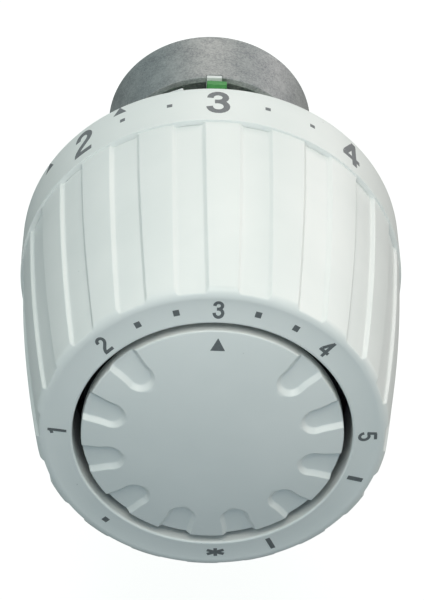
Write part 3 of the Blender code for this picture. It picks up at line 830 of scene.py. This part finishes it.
def notch_depth(angle, radius):
    """Depth of the thumb notches: flat floors, sloped walls, round inner ends, wider at the rim."""
    depth = np.zeros(np.broadcast(angle, radius).shape)
    outside = 9.0
    for notch in NOTCH_ANGLES:
        turned = np.radians(angle - notch)
        along = radius * np.cos(turned)
        across = np.abs(radius * np.sin(turned))
        flare = smooth((along - NOTCH_FLARE_START) / (DISC_RADIUS - NOTCH_FLARE_START))
        half = NOTCH_HALF_WIDTH + NOTCH_FLARE * flare
        centre = NOTCH_INNER_RADIUS + half
        past = np.where(along < centre, np.hypot(along - centre, across), across) - half
        past = np.where(along < 0, outside, past)
        depth = np.maximum(depth, NOTCH_DEPTH - NOTCH_SLOPE * eased_climb(past, NOTCH_FOOT))
    return depth


def disc_cap():
    columns = 1440
    angles = np.linspace(0, 360, columns, endpoint=False)[None, :]
    roll = [DISC_RADIUS - DISC_ROLL * (1 - math.sin(math.pi / 2 * i / 7)) for i in range(8)]
    radii = [0.0, 3.0, 6.0, 9.0, 10.6, 11.0] + list(np.arange(11.15, 15.65, 0.09)) + roll
    radius = np.array(radii)[:, None]
    height = disc_level(radius) - notch_depth(angles, radius)
    radius = np.repeat(radius, columns, axis=1)
    rear = DISC_FOOT + DISC_WALL
    lip = rear - 0.6
    lip_bore = DISC_RADIUS - 1.0
    hub_bore = DISC_HUB_RADIUS - DISC_HUB_WALL
    behind = [(DISC_RADIUS, lip + 0.2), (DISC_RADIUS - 0.2, lip), (lip_bore, lip), (lip_bore, rear)]
    behind += [(DISC_HUB_RADIUS, rear), (DISC_HUB_RADIUS, DISC_FOOT), (hub_bore, DISC_FOOT)]
    behind += [(hub_bore, rear), (0.0, rear)]
    for r, h in behind:
        radius = np.vstack([radius, np.full((1, columns), r)])
        height = np.vstack([height, np.full((1, columns), h)])
    turned = np.radians(angles + DISC_TURN)
    points = on_axis(radius * np.sin(turned), radius * np.cos(turned), height)
    cap = grid_object("disc_cap", points, ring=False)
    finish_piece(cap, "housing", WHITE_PLASTIC, "front_disc", sharp=50)
    pointer = [(-0.88, -0.8), (0.88, -0.8), (0.0, 0.8)]
    place = on_face(DISC_TURN, 14.3, lambda r: float(disc_level(r)))
    mark("disc_pointer", [pointer], place, "housing", FACE_INK)


# ---------------------------------------------------------------- collar and what it holds

COLLAR_FOOT, COLLAR_TOP, COLLAR_RADIUS = span("collar")
COLLAR_MOUTH = 12.85
COLLAR_BORE = 13.05
SEAT = 1.9
CLAMP_HEIGHT = -1.2
INDEX_ANGLE = 0.45
INDEX_WIDTH = 2.1


def collar_casting():
    shelf = SEAT + 0.4
    rear_wall = SEAT + 1.2
    collar = lathe(
        "collar_casting",
        [
            (13.75, COLLAR_TOP, 0.14),
            (13.95, 0.0, 0),
            (COLLAR_RADIUS, COLLAR_FOOT, 0.25),
            (COLLAR_BORE, COLLAR_FOOT, 0.2),
            (COLLAR_BORE, SEAT, 0.1),
            (9.6, SEAT, 0.1),
            (9.6, shelf, 0.1),
            (8.0, shelf, 0.1),
            (8.0, rear_wall, 0.1),
            (COLLAR_MOUTH, rear_wall, 0.3),
            (COLLAR_MOUTH, COLLAR_TOP, 0.12),
        ],
        columns=192,
    )
    under = clock(180)
    boss_inner = 13.45
    boss_outer = 17.0
    boss_size = (7.4, boss_outer - boss_inner, 6.8)
    boss_middle = (boss_inner + boss_outer) / 2
    boss = block("boss", boss_size, under @ move(0, boss_middle, CLAMP_HEIGHT), 0.9)
    combine(collar, [boss], "UNION")
    in_wall = 13.3
    pocket = block("pocket", (5.6, 2.6, 4.6), under @ move(0, in_wall, CLAMP_HEIGHT), 0.3)
    radial = under @ move(0, 16.0, CLAMP_HEIGHT) @ Matrix.Rotation(math.pi / 2, 4, "X")
    hole = prism("hole", circle(2.2, 40), 5.0, radial)
    notch_size = (INDEX_WIDTH + 0.12, 3.0, 3.0)
    notch_height = 6.03
    notch = block("notch", notch_size, clock(INDEX_ANGLE) @ move(0, in_wall, notch_height))
    combine(collar, [pocket, hole, notch], "DIFFERENCE")
    return finish_piece(collar, "housing", CAST_METAL, "collar", sharp=30)


def base_shell():
    foot, top, radius = span("base_housing")
    wall = 1.4
    rim_foot = 27.6
    rim_bore = 15.0
    cone_foot = 9.4
    cone_radius = 10.7
    cone_rim = 20.6
    floor = 10.9
    neck = 9.4
    neck_foot = 3.4
    plug = 7.6
    plug_bore = 5.95
    groove = 6.9
    base = lathe(
        "base_shell",
        [
            (radius, top, 0.3),
            (radius, rim_foot, 0.3),
            (cone_rim, rim_foot, 0.25),
            (cone_radius, cone_foot, 0.3),
            (neck, cone_foot, 0.1),
            (neck, neck_foot, 0.2),
            (plug, neck_foot, 0.1),
            (plug, 1.75, 0),
            (groove, 1.75, 0),
            (groove, 0.85, 0),
            (plug, 0.85, 0),
            (plug, foot, 0.2),
            (plug_bore, foot, 0.15),
            (plug_bore, floor, 0.2),
            (cone_radius - wall, floor, 0.4),
            (cone_rim - wall, rim_foot - 0.4, 0.3),
            (rim_bore, rim_foot, 0.2),
            (rim_bore, top, 0.2),
        ],
        columns=144,
    )
    slope = math.atan2(cone_rim - cone_radius, rim_foot - cone_foot)
    slots = []
    for index in range(12):
        stand = clock(15 + 30 * index) @ move(0, 15.4, 18.6) @ Matrix.Rotation(-slope, 4, "X")
        flat = stand @ Matrix.Rotation(math.pi / 2, 4, "X")
        slots.append(prism(f"slot_{index}", stadium(2.4, 11.5), 5.0, flat))
    key_inner = 8.8
    key_outer = 13.7
    key_height = 4.87
    key_size = (INDEX_WIDTH, key_outer - key_inner, 0.6)
    key_place = clock(INDEX_ANGLE) @ move(0, (key_inner + key_outer) / 2, key_height)
    key = block("key", key_size, key_place, 0.12)
    combine(base, [merged("slots", slots)], "DIFFERENCE")
    combine(base, [key], "UNION")
    return finish_piece(base, "housing", WHITE_PLASTIC, "base_housing", sharp=30)


def limit_ring(node, body, tab_angle, tab_reach, finish):
    """A thin limiter ring with a tab that reaches out over the collar's rim at this clock angle."""
    foot, top, radius = span(node)
    bore = 9.75
    ring = lathe(
        node + "_fine",
        [(radius, top, 0.15), (radius, foot, 0.15), (bore, foot, 0.1), (bore, top, 0.1)],
        columns=120,
    )
    inner = radius - 0.9
    middle = (foot + top) / 2
    size = (2.75, tab_reach - inner, top - foot - 0.06)
    tab = block("tab", size, clock(tab_angle) @ move(0, (inner + tab_reach) / 2, middle), 0.22)
    combine(ring, [tab], "UNION")
    return finish_piece(ring, body, finish, node, sharp=35)


def retaining_ring():
    foot, top, radius = span("knob_retaining_ring")
    bore = 21.0
    edge = 0.15
    ring = lathe(
        "retaining_ring_fine",
        [(radius, top, edge), (radius, foot, edge), (bore, foot, edge), (bore, top, edge)],
        columns=144,
    )
    split = block("split", (3.0, 6.0, 4.0), clock(180) @ move(0, 22.0, 27.0))
    combine(ring, [split], "DIFFERENCE")
    return finish_piece(ring, "knob", SPRING_STEEL, "knob_retaining_ring", sharp=35)


def circlip():
    foot, top, radius = span("collar_circlip")
    bore = 7.25
    edge = 0.08
    ring = lathe(
        "circlip_fine",
        [(radius, top, edge), (radius, foot, edge), (bore, foot, edge), (bore, top, edge)],
        columns=96,
    )
    opening = block("opening", (7.0, 8.0, 2.0), clock(180) @ move(0, 9.5, 1.3))
    combine(ring, [opening], "DIFFERENCE")
    return finish_piece(ring, "housing", SPRING_STEEL, "collar_circlip", sharp=35)


def guide_bush():
    foot, top, radius = span("spindle_guide")
    flange = 1.0
    shank = 5.6
    bore = 2.75
    bush = lathe(
        "guide_bush",
        [
            (radius, top, 0.2),
            (radius, top - flange, 0.2),
            (shank, top - flange, 0.1),
            (shank, foot, 0.3),
            (bore, foot, 0.3),
            (bore, top, 0.2),
        ],
        columns=72,
    )
    return finish_piece(bush, "housing", GREY_PLASTIC, "spindle_guide", sharp=35)


def spindle():
    foot, top, radius = span("pressure_spindle")
    shaft = 2.4
    pin = lathe(
        "spindle_fine",
        [
            (0, top, 0),
            (radius, top, 0.2),
            (radius, top - 1.2, 0.2),
            (shaft, top - 1.8, 0.2),
            (shaft, foot, 0.35),
            (0, foot, 0),
        ],
        columns=64,
        solid=True,
    )
    return finish_piece(pin, "spindle", BRIGHT_METAL, "pressure_spindle", sharp=35)


def clamp_parts():
    """The clamp shoe, and the set screw that lies across the head's axis and pushes it."""
    low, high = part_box("clamp_shoe")
    size = tuple((high - low) / MM)
    middle = (low + high) / 2 / MM
    centre = move(middle.x, middle.z, -middle.y)
    shoe = block("shoe_pad", (size[0], size[2], size[1]), centre, 0.22)
    finish_piece(shoe, "shoe", BRIGHT_METAL, "clamp_shoe", sharp=35)
    inner = 14.45
    outer = 18.3
    thick = 1.9
    corners = [(0, outer, 0), (thick, outer, 0.3), (thick, inner, 0.45), (0, inner, 0)]
    profile = rounded(corners, closed=False)
    angles = np.linspace(0, 2 * math.pi, 48, endpoint=False)
    radius = profile[:, :1]
    reach = np.repeat(profile[:, 1:], len(angles), axis=1)
    points = on_axis(radius * np.sin(angles), -reach, CLAMP_HEIGHT + radius * np.cos(angles))
    screw = grid_object("set_screw", points, ring=False)
    radial = clock(180) @ move(0, outer, CLAMP_HEIGHT) @ Matrix.Rotation(-math.pi / 2, 4, "X")
    combine(screw, [prism("socket", circle(1.15, 6), 3.6, radial)], "DIFFERENCE")
    finish_piece(screw, "screw", SPRING_STEEL, "clamp_screw", sharp=30)


# ---------------------------------------------------------------- pieces inside


def spring(node, wire, turns):
    """A coil spring of this wire radius. Its first and last half turns are wound flat."""
    foot, top, reach = span(node)
    dead_share = 0.5 / turns
    share = np.linspace(0, 1, turns * 32 + 1)
    climb = np.clip((share - dead_share) / (1 - 2 * dead_share), 0, 1)
    creep = 2.3 * wire
    height = foot + wire + creep * share + climb * (top - foot - 2 * wire - creep)
    around = 2 * math.pi * turns * share
    section = np.linspace(0, 2 * math.pi, 12, endpoint=False)
    radius = reach - wire + wire * np.cos(section)[None, :]
    level = height[:, None] + wire * np.sin(section)[None, :]
    points = on_axis(radius * np.cos(around)[:, None], radius * np.sin(around)[:, None], level)
    coil = grid_object(node + "_fine", points, ring=False)
    close_ends(coil.data)
    coil.data.materials.append(SPRING_STEEL)
    coil.data.shade_smooth()
    coil.data.set_sharp_from_angle(angle=math.radians(50))
    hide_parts(node)
    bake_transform(coil)


def close_ends(mesh):
    """Fills the open ends of a tube."""
    shape = bmesh.new()
    shape.from_mesh(mesh)
    bmesh.ops.holes_fill(shape, edges=[edge for edge in shape.edges if edge.is_boundary])
    bmesh.ops.recalc_face_normals(shape, faces=shape.faces)
    shape.to_mesh(mesh)
    shape.free()


INNER_FINISHES = {
    "adjusting_nut": GREY_PLASTIC,
    # the inner cage gets the near-black finish as painted shade, so the gap round the front disc looks dark
    "inner_cage": PAINTED_SHADE_PLASTIC,
    "sensor_carrier": GREY_PLASTIC,
    "carrier_cap": GREY_PLASTIC,
    "sensor_can": BRIGHT_METAL,
    "sensor_end_plate": BRIGHT_METAL,
    "spring_seat": BRIGHT_METAL,
    "bellows": COPPER_ALLOY,
    "filling_tube": COPPER_ALLOY,
    "base_screw_1": SPRING_STEEL,
    "base_screw_2": SPRING_STEEL,
    "base_screw_3": SPRING_STEEL,
}


def dress_inner_nodes():
    for node, finish in INNER_FINISHES.items():
        mesh = frame["nodes"][node].data
        mesh.materials.clear()
        mesh.materials.append(finish)


# ---------------------------------------------------------------- stage, light and camera


def paper_floor():
    """A pale sheet that looks white to the camera and throws little light back up at the head."""
    reach = 3.0
    level = CAD_BOX[0].z - 0.03
    corners = [(x, y, level) for x, y in rectangle(2 * reach, 2 * reach)]
    mesh = bpy.data.meshes.new("floor")
    mesh.from_pydata(corners, [], [(0, 1, 2, 3)])
    floor = new_object("floor", mesh)
    paper = Nodes("paper")
    tone = paper.ramp(paper.noise(60.0, 2.0), (0.3, 0.0), (0.7, 1.0))
    colour = paper.mix(tone, (0.305, 0.308, 0.305), (0.315, 0.318, 0.315))
    paper.set(colour=colour, rough=0.9, specular=0.1)
    paper.link(colour, paper.shader.inputs["Emission Color"])
    seen = paper.add("ShaderNodeLightPath").outputs["Is Camera Ray"]
    glow = 2.7
    paper.link(paper.multiply(seen, glow), paper.shader.inputs["Emission Strength"])
    mesh.materials.append(paper.material)


def room_light():
    """Cool, even light from all round, with a paler backdrop where the camera looks past the floor."""
    world = bpy.context.scene.world or bpy.data.worlds.new("studio")
    bpy.context.scene.world = world
    world.use_nodes = True
    tree = world.node_tree
    seen = tree.nodes.new("ShaderNodeLightPath").outputs["Is Camera Ray"]
    colour = blend_colours(tree, seen, (0.335, 0.42, 0.43), (0.93, 0.94, 0.94))
    background = tree.nodes["Background"]
    tree.links.new(colour, background.inputs["Color"])
    background.inputs["Strength"].default_value = 1.0


def softbox(name, place, size, power, colour):
    """A square lamp, in metres and watts, aimed at the middle of the head."""
    data = bpy.data.lights.new(name, "AREA")
    data.size = size
    data.energy = power
    data.color = colour
    lamp = bpy.data.objects.new(name, data)
    bpy.context.scene.collection.objects.link(lamp)
    lamp.location = place
    aim = Vector((0.0, -0.03, 0.0))
    lamp.rotation_euler = (aim - Vector(place)).to_track_quat("-Z", "Y").to_euler()


def studio():
    paper_floor()
    room_light()
    softbox("above_back", (0.0, 0.22, 0.28), 0.20, 0.22, (1.0, 0.86, 0.79))
    softbox("front_fill", (0.0, -0.14, 0.19), 0.14, 0.2, (0.985, 0.955, 0.87))
    softbox("front", (0.0, -0.4, 0.1), 0.25, 0.045, (0.5, 0.98, 1.6))
    softbox("right", (0.36, -0.03, 0.06), 0.25, 0.31, (1.0, 0.86, 0.76))
    softbox("left", (-0.36, -0.03, 0.06), 0.25, 0.09, (0.95, 1.0, 0.92))
    softbox("right_back", (0.26, 0.22, 0.14), 0.20, 0.17, (1.0, 0.84, 0.83))


def camera():
    """A long lens above and in front of the dial, at the photograph's angle."""
    elevation = math.radians(35.91)
    head_turn = math.radians(2.65)
    image_roll = math.radians(0.55)
    distance = 0.35
    aim = Vector((0.00012, KNOB_TOP * -MM + 0.0292, 0.0))
    about_axis = Matrix.Rotation(-head_turn, 3, "Y")
    away = about_axis @ Vector((0, -math.cos(elevation), math.sin(elevation)))
    up = about_axis @ Vector((0, math.sin(elevation), math.cos(elevation)))
    up = Matrix.Rotation(-image_roll, 3, away) @ up
    data = bpy.data.cameras.new("camera")
    data.sensor_width = 36.0
    data.lens = 160.9
    data.shift_y = -0.0101
    data.clip_start = 0.01
    data.clip_end = 20.0
    eye = bpy.data.objects.new("camera", data)
    bpy.context.scene.collection.objects.link(eye)
    right = up.cross(away)
    turned = Matrix((right, up, away)).transposed().to_4x4()
    eye.matrix_world = Matrix.Translation(aim + away * distance) @ turned
    bpy.context.scene.camera = eye
    bpy.context.scene.view_settings.view_transform = "Standard"


knob_shell()
face_marks()
band_marks()
disc_cap()
collar_casting()
base_shell()
limit_ring("limit_ring_green", "green_ring", 1.95, 13.6, GREEN_PLASTIC)
limit_ring("limit_ring_white", "white_ring", -23.4, 13.78, WHITE_PLASTIC)
retaining_ring()
circlip()
guide_bush()
spindle()
clamp_parts()
spring("overtravel_spring", 0.5, 3)
spring("return_spring", 0.55, 5)
dress_inner_nodes()
studio()
camera()
